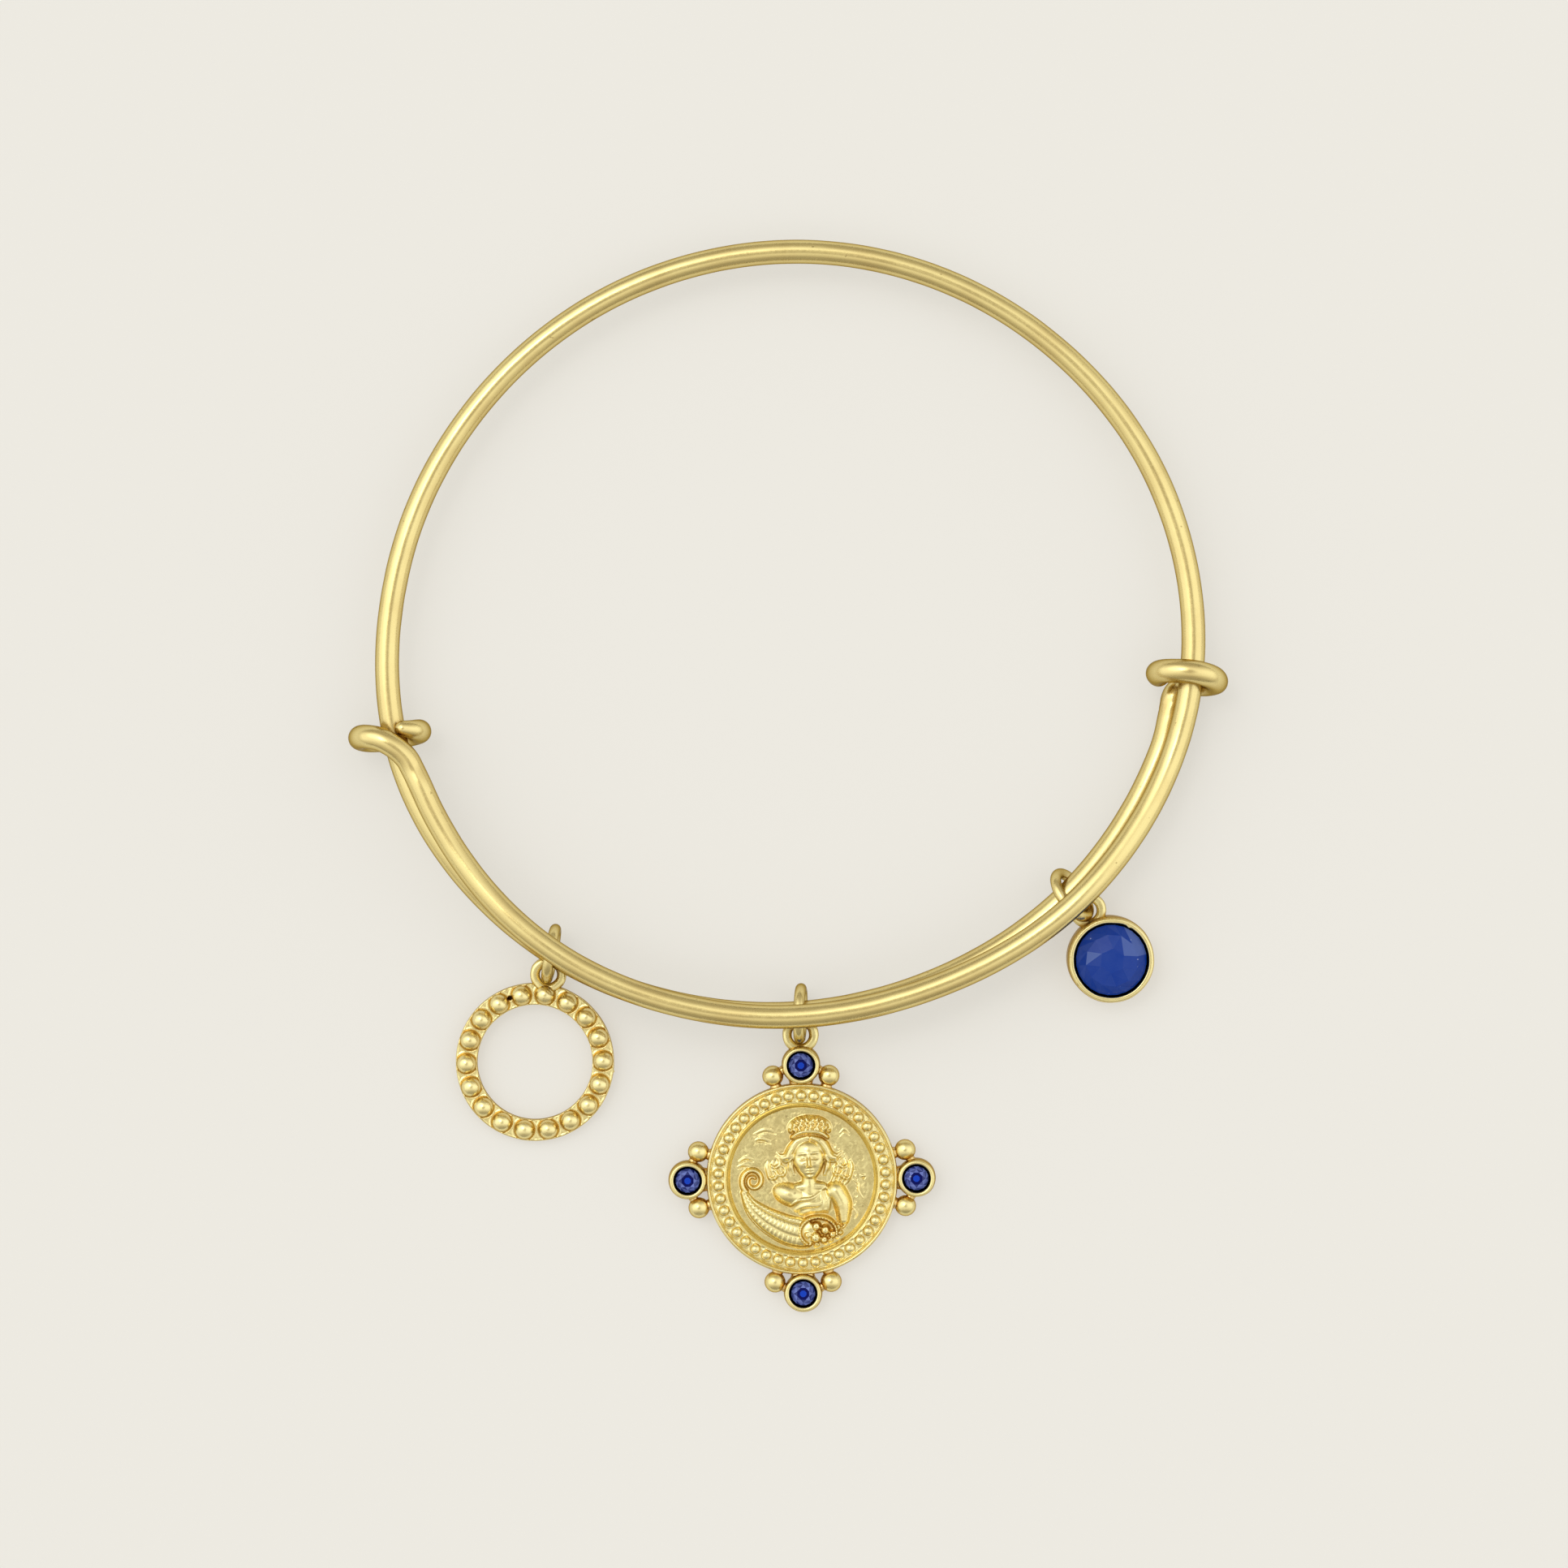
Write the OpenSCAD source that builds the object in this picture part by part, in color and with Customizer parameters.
// Charm bangle: a round wire lapped over itself, each end coiled once round the other strand.
// Three charms hang from jump rings on the lower strand. The bangle lies on its side.
// Origin: centre of the wrist opening, on the resting plane; +Y points away from the charms.

/* [Bangle wire] */
// Mean radius of the wire's centre line, mm
bangle_r = 31.7; // [29:0.1:36]
// Diameter of the round wire, mm
wire_d = 2.0; // [1.8:0.05:2.2]
// Number of flats round the meshed wire
wire_sides = 12; // [10:2:16]
// Room between a coiled end and the strand that runs through it, mm
coil_room = 0.15; // [0.1:0.01:0.3]
// Room between a strand and the ring beside it, mm
ring_room = 0.06; // [0.04:0.01:0.15]

/* [Jump rings] */
// Wire diameter of a jump ring, mm
ring_wire = 0.9; // [0.8:0.02:1.0]
// Room inside a jump ring beyond the strand and the eye that it holds, mm
ring_slack = 0.36; // [0.34:0.01:0.5]
// Place of the left jump ring round the bangle, degrees
left_angle = 232.9; // [229:0.1:236]
// Place of the middle jump ring round the bangle, degrees
middle_angle = 271.5; // [268:0.1:275]
// Place of the right jump ring round the bangle, degrees
right_angle = 317.3; // [314:0.1:319]

/* [Charm eyes] */
// Wire diameter of the eye on each charm, mm
eye_wire = 0.82; // [0.7:0.02:0.84]
// Hole of each eye, mm
eye_hole = 1.36; // [1.34:0.02:1.5]

/* [Beaded ring charm] */
// Outer diameter of the beaded ring, mm
beaded_d = 12.9; // [11:0.1:15]
// Width of the beaded ring's band, mm
beaded_width = 1.75; // [1.5:0.05:2.1]
// Number of beads round the ring
beaded_count = 18; // [14:1:22]
// Thickness of the band under the beads, mm
beaded_band = 1.0; // [0.8:0.05:1.4]

/* [Medallion] */
// Diameter of the round plate, mm
plate_d = 15.6; // [14:0.1:18]
// Thickness of the plate at its rim, mm
plate_h = 1.5; // [1.3:0.05:2]
// Number of small beads in the border
border_count = 42; // [34:1:48]
// Diameter of a border bead, mm
border_bead = 0.84; // [0.7:0.02:0.95]
// Outer diameter of a small stone setting, mm
setting_d = 3.16; // [2.8:0.02:3.6]
// Height of a small stone setting, mm
setting_h = 1.9; // [1.6:0.05:2.2]
// Height of the cast relief above its field, mm
relief_h = 0.85; // [0.6:0.05:1.2]
// Diameter of the balls beside the settings, mm
ball_d = 1.72; // [1.4:0.02:1.9]
// Diameter of a small cut stone, mm
small_stone_d = 2.1; // [1.8:0.02:2.3]

/* [Single stone charm] */
// Outer diameter of the large setting, mm
cup_d = 7.06; // [6.4:0.02:8]
// Height of the large setting, mm
cup_h = 2.7; // [2.2:0.05:3.2]
// Diameter of the large cut stone, mm
main_stone_d = 5.8; // [5.2:0.02:6.2]

/* [Hidden] */
$fn = 48;

wire_r = wire_d / 2;
ring_inner = (wire_d + eye_wire + ring_slack) / 2;
ring_r = ring_inner + ring_wire / 2;
eye_r = (eye_hole + eye_wire) / 2;

// Coiled ends: an oval turn round the through strand, set off a little to one side
coil_up = wire_d + coil_room;
coil_out = wire_d + 0.4;
coil_shift = 0.35;

// Heights of the wire's centre line above the resting plane
mid_z = coil_up + wire_r;
low_z = mid_z - 0.925 * coil_up;
high_z = mid_z + 0.93 * coil_up;
ring_z = ring_r + ring_wire / 2;
back_z = ring_z + ring_inner - wire_r - 2 * ring_room;
front_z = 2 * ring_z + wire_r + ring_room;

// Where the coils sit round the bangle, degrees
left_coil = 194.3;
right_coil = -6.3;

// The lapped strand, followed clockwise from the right coil: below, over the top, and back above.
// Shares of bangle_r every 30 degrees, starting at 350.
strand_start = 350;
strand_step = 30;
strand_share = [1.005, 0.978, 0.963, 0.983, 1.026, 1.051, 1.019, 0.989, 0.978,
                0.983, 0.998, 1.023, 1.033, 1.005, 0.974, 0.985, 1.015, 1.023];
// [angle, height]: the strand is level at each row and eases between them
strand_level = [[352, low_z], [344, low_z], [315, back_z - 0.34], [286, back_z], [225, back_z],
                [205, mid_z], [-14, mid_z], [-46, front_z - 0.34], [-75, front_z],
                [-128, front_z], [-152, high_z], [-170, high_z]];
// [turn, run, reach]: turn round the strand from the outer side, run along it as a share of
// wire_d, and distance from it as a share of the coil's own, where that isn't 1
left_turns = [[119, 1.5, 1.015], [114.5, 1.14, 1.01], [105.5, 0.78], [91.5, 0.41], [71, 0.04],
              [49, -0.15], [24, -0.24], [0, -0.21], [-30, -0.1], [-60, 0.02], [-90, 0.1],
              [-120, 0.12], [-150, 0.13], [-180, 0.1], [-200, 0.04], [-218, -0.04, 0.97],
              [-236, -0.16, 0.91]];
right_turns = [[-112, 1.2], [-111, 0.87], [-104, 0.57], [-90, 0.35], [-68, 0.22], [-45, 0.17],
               [-20, 0.1], [0, 0.04], [30, -0.1], [60, -0.2], [90, -0.24], [120, -0.2],
               [150, -0.14], [180, -0.05], [198, 0]];

function unit(v) = v / norm(v);
function ease(t) = t * t * (3 - 2 * t);
function lerp(a, b, t) = a + (b - a) * t;
function reverse(list) = [for (i = [len(list) - 1 : -1 : 0]) list[i]];
function curve(a, b, c, d, t) =
    b + 0.5 * t * (c - a + t * (2 * a - 5 * b + 4 * c - d + t * (3 * (b - c) + d - a)));

function share_at(i) =
    let (last = len(strand_share) - 1)
    i < 0 ? 2 * strand_share[0] - strand_share[1]
    : i > last ? 2 * strand_share[last] - strand_share[last - 1]
    : strand_share[i];
function strand_r(angle) =
    let (
        along = (strand_start - angle) / strand_step,
        i = min(max(floor(along), 0), len(strand_share) - 2)
    )
    bangle_r * curve(share_at(i - 1), share_at(i), share_at(i + 1), share_at(i + 2), along - i);
function strand_z(angle) =
    let (
        i = max([for (k = [0 : len(strand_level) - 2]) if (angle <= strand_level[k][0]) k]),
        from = strand_level[i],
        to = strand_level[i + 1]
    )
    lerp(from[1], to[1], ease((from[0] - angle) / (from[0] - to[0])));
function strand_at(angle) =
    let (r = strand_r(angle))
    [r * cos(angle), r * sin(angle), strand_z(angle)];

function coil_path(angle, turns, shift, way) =
    let (
        centre = strand_at(angle),
        out = [cos(angle), sin(angle), 0],
        along = way * [-sin(angle), cos(angle), 0]
    )
    [for (row = turns)
        let (reach = len(row) > 2 ? row[2] : 1)
        centre + (shift + coil_out * reach * cos(row[0])) * out
        + [0, 0, coil_up * reach * sin(row[0])] + wire_d * row[1] * along];

strand_gap = 4;
strand_first = 344;
strand_last = -158;
strand_count = round((strand_first - strand_last) / strand_gap);
guide = concat(
    reverse(coil_path(right_coil, right_turns, -coil_shift, -1)),
    [for (i = [0 : strand_count]) strand_at(lerp(strand_first, strand_last, i / strand_count))],
    coil_path(left_coil, left_turns, coil_shift, 1));

// Slope of a line of points at point i, weighted by the spacing on each side
function slope(path, i) =
    let (last = len(path) - 1)
    i == 0 ? unit(path[1] - path[0])
    : i == last ? unit(path[last] - path[last - 1])
    : let (
        before = path[i] - path[i - 1],
        after = path[i + 1] - path[i],
        nb = norm(before),
        na = norm(after)
    )
    unit(before * na / nb + after * nb / na);
function between(path, i, t) =
    let (
        a = path[i],
        b = path[i + 1],
        gap = norm(b - a),
        sa = slope(path, i) * gap,
        sb = slope(path, i + 1) * gap
    )
    a * (1 + 2 * t) * (1 - t) * (1 - t) + sa * t * (1 - t) * (1 - t)
    + b * t * t * (3 - 2 * t) - sb * t * t * (1 - t);
coil_rows = len(left_turns);
wire_path = [
    for (i = [0 : len(guide) - 1])
        let (parts = i < coil_rows || i >= len(guide) - coil_rows - 1 ? 2 : 1)
        for (k = [0 : (i < len(guide) - 1 ? parts : 1) - 1])
            i < len(guide) - 1 ? between(guide, i, k / parts) : guide[i]
];
wire_slope = [for (i = [0 : len(wire_path) - 1]) slope(wire_path, i)];

// Side direction carried along the wire without twist
function square_to(v, axis) = unit(v - (v * axis) * axis);
wire_side = [
    for (
        i = 0, v = square_to([0, 0, 1], wire_slope[0]);
        i < len(wire_path);
        i = i + 1, v = i < len(wire_path) ? square_to(v, wire_slope[i]) : v
    ) v
];
function wire_loop(centre, axis, side, r) =
    let (other = cross(axis, side))
    [for (k = [0 : wire_sides - 1])
        let (a = 360 * k / wire_sides)
        centre + r * (cos(a) * side + sin(a) * other)];

// The left end narrows over its last stretch
tip_length = 1.2 * wire_d;
tip_narrowing = 0.36;
function wire_r_at(i) =
    let (
        last = len(wire_path) - 1,
        left = i < last - 12 ? 1 : norm(wire_path[last] - wire_path[i]) / tip_length
    )
    wire_r * (1 - tip_narrowing * pow(max(0, 1 - left), 1.2));

// One wire from rounded end to rounded end
module bangle_wire() {
    last = len(wire_path) - 1;
    tip_r = wire_r_at(last);
    cap = [60, 30];
    loops = concat(
        [for (a = cap)
            wire_loop(wire_path[0] - wire_r * sin(a) * wire_slope[0], wire_slope[0], wire_side[0],
                wire_r * cos(a))],
        [for (i = [0 : last])
            wire_loop(wire_path[i], wire_slope[i], wire_side[i], wire_r_at(i))],
        [for (a = reverse(cap))
            wire_loop(wire_path[last] + tip_r * sin(a) * wire_slope[last], wire_slope[last],
                wire_side[last], tip_r * cos(a))]);
    rows = len(loops);
    n = wire_sides;
    points = concat(
        [for (l = loops) each l],
        [wire_path[0] - wire_r * wire_slope[0], wire_path[last] + tip_r * wire_slope[last]]);
    walls = [for (i = [0 : rows - 2], k = [0 : n - 1])
        let (a = i * n + k, b = i * n + (k + 1) % n)
        each [[a, a + n, b], [b, a + n, b + n]]];
    ends = [for (k = [0 : n - 1])
        let (j = (k + 1) % n, top = (rows - 1) * n)
        each [[rows * n, k, j], [rows * n + 1, top + j, top + k]]];
    color("#d9bf74")
        polyhedron(points, concat(walls, ends), convexity = 12);
}

module wire_ring(r, d) {
    rotate_extrude($fn = 96)
        translate([r, 0])
            circle(d = d, $fn = 48);
}

// [place on the strand, heading away from the bangle, lean, slip along the heading,
// slip across it, drop of the eye below the ring's centre]; slips are shares of wire_d,
// the drop is a share of the ring's radius
left_hang = [left_angle, 260.1, 2, 0.08, 0.05, 0.46];
middle_hang = [middle_angle, 268.5, 4, 0.04, 0, 0.42];
right_hang = [right_angle, 305.6, 24.5, 0.16, 0, 0.4];

function heading(angle) = [cos(angle), sin(angle), 0];
function ring_centre(hang) =
    let (strand = strand_at(hang[0]))
    [strand[0], strand[1], 0] + hang[3] * wire_d * heading(hang[1])
    + hang[4] * wire_d * heading(hang[1] + 90)
    + [0, 0, ring_r * cos(hang[2]) + ring_wire / 2];
// Point of the ring's centre line at a height, on the side away from the bangle
function ring_pass(hang, z) =
    let (
        centre = ring_centre(hang),
        rise = (z - centre[2]) / (ring_r * cos(hang[2])),
        reach = sqrt(1 - rise * rise)
    )
    [centre[0], centre[1], z] + ring_r * reach * heading(hang[1])
    - ring_r * rise * sin(hang[2]) * heading(hang[1] + 90);

module jump_ring(hang) {
    color("#d4b565")
        translate(ring_centre(hang))
            rotate([0, 0, hang[1]])
                rotate([90 + hang[2], 0, 0])
                    wire_ring(ring_r, ring_wire);
}

// A charm leans on its ring: its eye is held up, its far end rests on the plane.
// [hang, heading to the eye, height of the eye in the charm, eye distance, far reach]
module hung(hang, way, eye_z, eye_at, reach) {
    held = ring_centre(hang)[2] - hang[5] * ring_r * cos(hang[2]);
    lean = asin((held - eye_z) / (eye_at + reach));
    eye = ring_pass(hang, held);
    back = eye_at * cos(lean) - eye_z * sin(lean) - 0.08;
    translate([eye[0], eye[1], 0] - back * heading(way) + [0, 0, reach * sin(lean)])
        rotate([0, 0, way - 90])
            rotate([lean, 0, 0])
                children();
}

module eye(at, z) {
    translate([0, at, z])
        wire_ring(eye_r, eye_wire);
}

// Beaded ring charm
beaded_r = beaded_d / 2;
beaded_pitch = beaded_r - beaded_width / 2;
beaded_bead = beaded_width - 0.1;
beaded_eye_z = 0.8;
beaded_eye_at = beaded_r + eye_hole / 2 + 0.12;

module beaded_ring_body() {
    rotate_extrude($fn = 72)
        translate([beaded_r - beaded_width, 0])
            polygon([
                [0.15, 0], [beaded_width - 0.15, 0], [beaded_width, 0.15], [beaded_width, beaded_band],
                [beaded_width - 0.14, beaded_band], [beaded_width - 0.3, beaded_band - 0.12],
                [0.3, beaded_band - 0.12], [0.14, beaded_band], [0, beaded_band], [0, 0.15]
            ]);
    for (i = [0 : beaded_count - 1])
        rotate([0, 0, 90 + 360 * i / beaded_count])
            translate([beaded_pitch, 0, beaded_band])
                sphere(d = beaded_bead, $fn = 24);
    eye(beaded_eye_at, beaded_eye_z);
}
module beaded_ring_charm() {
    color("#d8b866")
        hung(left_hang, 81.2, beaded_eye_z, beaded_eye_at, beaded_r - 0.15)
            beaded_ring_body();
}

// Medallion charm
plate_r = plate_d / 2;
setting_r = setting_d / 2;
setting_at = plate_r + setting_r - 0.06;
ball_at = plate_r + ball_d / 2 + 0.07;
ball_turn = 15.2;
medal_eye_z = 0.85;
medal_eye_at = setting_at + setting_r + eye_hole / 2 + 0.17;
medal_reach = setting_at + setting_r - 0.15;
border_r = plate_r - 0.96;
field_r = plate_r - 1.9;
small_opening = small_stone_d + 0.18;

// Cast relief: a crowned bust with wavy hair and a draped shoulder, and a horn of fruit.
// Rounded forms as [x, y, half width, half height, turn, rise]: lengths are shares of the
// field's radius, rises shares of relief_h.
figure = [
    [0.08, 0.3, 0.21, 0.28, 3, 0.92],
    [0.08, 0.46, 0.3, 0.2, 3, 0.72],
    [0.09, 0.655, 0.28, 0.06, 3, 0.95],
    [0.1, 0.75, 0.27, 0.12, 3, 0.68],
    [0.11, 0, 0.13, 0.2, 6, 0.6],
    [-0.2, -0.2, 0.22, 0.18, -28, 0.66],
    [0.46, -0.18, 0.22, 0.18, 30, 0.66],
    [0.13, -0.3, 0.4, 0.25, 0, 0.66],
    [0.62, -0.42, 0.12, 0.27, 8, 0.58],
    [0.2, -0.3, 0.36, 0.045, 24, 0.8],
    [0.24, -0.43, 0.32, 0.045, 32, 0.74]
];
// Round forms as [x, y, half size, rise]
crown_points = [for (i = [-2 : 2]) [0.1 + 0.12 * i, 0.86 - 0.02 * i * i, 0.07, 0.68]];
locks = [
    for (side = [-1, 1], i = [0 : 6])
        [0.09 + side * (0.16 + 0.37 * sin(19 * i)), 0.54 - 0.1 * i, 0.105 - 0.004 * i,
            0.62 + 0.1 * cos(180 * i)]
];
curls = [
    for (side = [-1, 1], i = [0 : 3])
        [0.09 + side * (0.4 - 0.05 * i), 0.2 - 0.1 * i, 0.09, 0.5 - 0.08 * cos(180 * i)]
];
fruit = [[0.02, -0.76, 0.11, 0.7], [0.19, -0.8, 0.12, 0.8], [0.15, -0.64, 0.1, 0.66],
         [0.35, -0.72, 0.1, 0.66], [0.34, -0.86, 0.08, 0.55], [0.5, -0.68, 0.09, 0.55]];
// The horn swells along an arc from its curled tip to its mouth
horn = [
    for (i = [0 : 12])
        let (a = 172 + 8 * i)
        [-0.22 + 0.56 * cos(a), -0.16 + 0.56 * sin(a), 0.08 + 0.009 * i, 0.45 + 0.022 * i]
];
horn_curl = [
    for (i = [0 : 15])
        let (a = 215 - 27 * i, r = 0.17 - 0.0085 * i)
        [-0.6 + r * cos(a), 0.02 + r * sin(a), 0.055, 0.5]
];
small_forms = concat(crown_points, locks, curls, fruit, horn, horn_curl);
// Features added to the face: [x, y, half width, half height, change]
features = [[0.08, 0.29, 0.04, 0.12, 0.16], [0.08, 0.22, 0.06, 0.045, 0.07],
            [-0.01, 0.345, 0.075, 0.045, -0.12], [0.17, 0.345, 0.075, 0.045, -0.12],
            [0.08, 0.14, 0.08, 0.03, 0.07], [0.08, 0.06, 0.08, 0.05, 0.06]];

function sum(list, i = 0) = i < len(list) ? list[i] + sum(list, i + 1) : 0;
// Squares of a point's distance from a form's centre, 1 on the form's edge
function away(x, y, f) =
    let (
        c = cos(f[4]),
        s = sin(f[4]),
        u = ((x - f[0]) * c + (y - f[1]) * s) / f[2],
        v = ((y - f[1]) * c - (x - f[0]) * s) / f[3]
    )
    u * u + v * v;
function away_round(x, y, f) = (pow(x - f[0], 2) + pow(y - f[1], 2)) / (f[2] * f[2]);
// A form is flat on top and falls smoothly past its edge; forms blend where they meet
function swell(rise, d) = d > 4 ? 0 : pow(rise * exp(-1.5 * d * d), 5);
function relief_height(x, y) =
    pow(
        sum([for (f = figure) swell(f[5], away(x, y, f))])
        + sum([for (f = small_forms) swell(f[3], away_round(x, y, f))]),
        0.2)
    + sum([for (f = features)
        f[4] * max(0, 1 - away(x, y, [f[0], f[1], f[2], f[3], 0]))])
    - relief_sink;

relief_cells = 54;
relief_base = plate_h - 0.4;
// Depth to which the relief's own ground runs below the field, as a share of relief_h
relief_sink = 0.14;
module relief() {
    n = relief_cells + 1;
    span = 0.97 * field_r;
    grid = [for (j = [0 : n - 1], i = [0 : n - 1])
        let (
            u = 2 * i / relief_cells - 1,
            v = 2 * j / relief_cells - 1,
            x = u * sqrt(1 - v * v / 2),
            y = v * sqrt(1 - u * u / 2)
        )
        [span * x, span * y, relief_h * relief_height(0.97 * x, 0.97 * y)]];
    edge = concat(
        [for (i = [0 : relief_cells - 1]) i],
        [for (j = [0 : relief_cells - 1]) j * n + relief_cells],
        [for (i = [relief_cells : -1 : 1]) relief_cells * n + i],
        [for (j = [relief_cells : -1 : 1]) j * n]);
    m = len(edge);
    under = [for (k = edge) [grid[k][0], grid[k][1], -0.3]];
    // Each cell is cut along the diagonal that follows the form
    tops = [for (j = [0 : relief_cells - 1], i = [0 : relief_cells - 1])
        let (
            a = j * n + i,
            rising = abs(grid[a][2] - grid[a + n + 1][2]),
            falling = abs(grid[a + 1][2] - grid[a + n][2])
        )
        each rising < falling
            ? [[a, a + n, a + n + 1], [a, a + n + 1, a + 1]]
            : [[a, a + n, a + 1], [a + 1, a + n, a + n + 1]]];
    walls = [for (k = [0 : m - 1])
        let (l = (k + 1) % m)
        each [[edge[k], edge[l], n * n + l], [edge[k], n * n + l, n * n + k]]];
    floors = [for (k = [0 : m - 1]) [n * n + m, n * n + k, n * n + (k + 1) % m]];
    translate([0, 0, relief_base])
        polyhedron(concat(grid, under, [[0, 0, -0.3]]), concat(tops, walls, floors),
            convexity = 10);
}

module plate() {
    rotate_extrude($fn = 96)
        polygon([
            [0, 0], [plate_r - 0.2, 0], [plate_r, 0.2], [plate_r, plate_h - 0.12],
            [plate_r - 0.14, plate_h], [plate_r - 0.3, plate_h], [plate_r - 0.42, plate_h - 0.2],
            [field_r + 0.5, plate_h - 0.2], [field_r + 0.38, plate_h + 0.02],
            [field_r + 0.2, plate_h + 0.02], [field_r + 0.08, plate_h - 0.35],
            [field_r, plate_h - 0.4], [0, plate_h - 0.4]
        ]);
    for (i = [0 : border_count - 1])
        rotate([0, 0, 90 + 360 * i / border_count])
            translate([border_r, 0, plate_h - 0.2])
                sphere(d = border_bead, $fn = 16);
}
module small_setting() {
    rotate_extrude($fn = 48)
        polygon([
            [0, 0], [setting_r - 0.2, 0], [setting_r, 0.2], [setting_r, setting_h - 0.8],
            [setting_r - 0.1, setting_h - 0.12], [setting_r - 0.22, setting_h], [0, setting_h]
        ]);
}
// One arm of the medallion: a stone setting between two balls, soldered to the plate
module arm() {
    translate([0, setting_at, 0])
        small_setting();
    translate([-0.8, plate_r - 0.4, 0.2])
        cube([1.6, 0.7, plate_h - 0.5]);
    for (side = [-1, 1])
        rotate([0, 0, side * ball_turn]) {
            translate([0, ball_at, ball_d / 2 + 0.02])
                sphere(d = ball_d, $fn = 32);
            translate([0, ball_at, ball_d / 2])
                rotate([90, 0, 0])
                    cylinder(d = 0.8, h = ball_d / 2 + 0.3, $fn = 20);
        }
}
module medallion_body() {
    difference() {
        union() {
            plate();
            relief();
            for (k = [0 : 3])
                rotate([0, 0, 90 * k])
                    arm();
            eye(medal_eye_at, medal_eye_z);
        }
        for (k = [0 : 3])
            rotate([0, 0, 90 * k])
                translate([0, setting_at, 0.55])
                    cylinder(d = small_opening, h = 4, $fn = 48);
    }
}
module on_medallion() {
    hung(middle_hang, 90.6, medal_eye_z, medal_eye_at, medal_reach)
        children();
}
module medallion_charm() {
    color("#d8b866")
        on_medallion()
            medallion_body();
}

// Round cut stone: pointed below, a flat table above
module cut_stone(d, crown, deep, table) {
    girdle = 0.06 * d;
    hull() {
        translate([0, 0, -girdle / 2])
            rotate([0, 0, 11.25])
                cylinder(d = d, h = girdle, $fn = 16);
        translate([0, 0, crown - 0.01])
            rotate([0, 0, 22.5])
                cylinder(d = table, h = 0.01, $fn = 8);
        translate([0, 0, -deep])
            cylinder(d = 0.2 * d, h = 0.01, $fn = 8);
    }
}
module small_stone(k) {
    color("#5a6fc4")
        on_medallion()
            rotate([0, 0, -90 * k])
                translate([0, setting_at, setting_h - 0.42])
                    cut_stone(small_stone_d, 0.36, 0.8, 0.5 * small_stone_d);
}

// Single stone charm
cup_r = cup_d / 2;
cup_opening = main_stone_d + 0.28;
cup_eye_z = 1.05;
cup_eye_at = cup_r + eye_hole / 2 + 0.14;

module cup() {
    difference() {
        union() {
            rotate_extrude($fn = 72)
                polygon([
                    [0, 0], [cup_r - 0.3, 0], [cup_r, 0.35], [cup_r, cup_h - 1.4],
                    [cup_r - 0.16, cup_h - 0.15], [cup_r - 0.28, cup_h], [0, cup_h]
                ]);
            eye(cup_eye_at, cup_eye_z);
        }
        translate([0, 0, 0.6])
            cylinder(d = cup_opening, h = 2 * cup_h, $fn = 72);
    }
}
module on_cup() {
    hung(right_hang, 114.7, cup_eye_z, cup_eye_at, cup_r - 0.3)
        children();
}
module stone_setting_charm() {
    color("#d8b866")
        on_cup()
            cup();
}
// Flat-backed stone cut as a low dome of broad facets
module main_stone() {
    color("#3350a8")
        on_cup()
            translate([0, 0, 0.65])
                hull() {
                    cylinder(d = main_stone_d - 0.4, h = 0.01, $fn = 24);
                    translate([0, 0, 0.4])
                        cylinder(d = main_stone_d, h = cup_h - 1.3, $fn = 24);
                    translate([0, 0, cup_h - 0.3])
                        rotate([0, 0, 15])
                            cylinder(d = 0.74 * main_stone_d, h = 0.01, $fn = 12);
                    translate([0, 0, cup_h + 0.05])
                        cylinder(d = 0.36 * main_stone_d, h = 0.01, $fn = 6);
                }
}

bangle_wire();
jump_ring(left_hang);  // jump_ring_left
jump_ring(middle_hang);  // jump_ring_middle
jump_ring(right_hang);  // jump_ring_right
beaded_ring_charm();
medallion_charm();
small_stone(0);  // stone_top
small_stone(1);  // stone_right
small_stone(2);  // stone_bottom
small_stone(3);  // stone_left
stone_setting_charm();
main_stone();
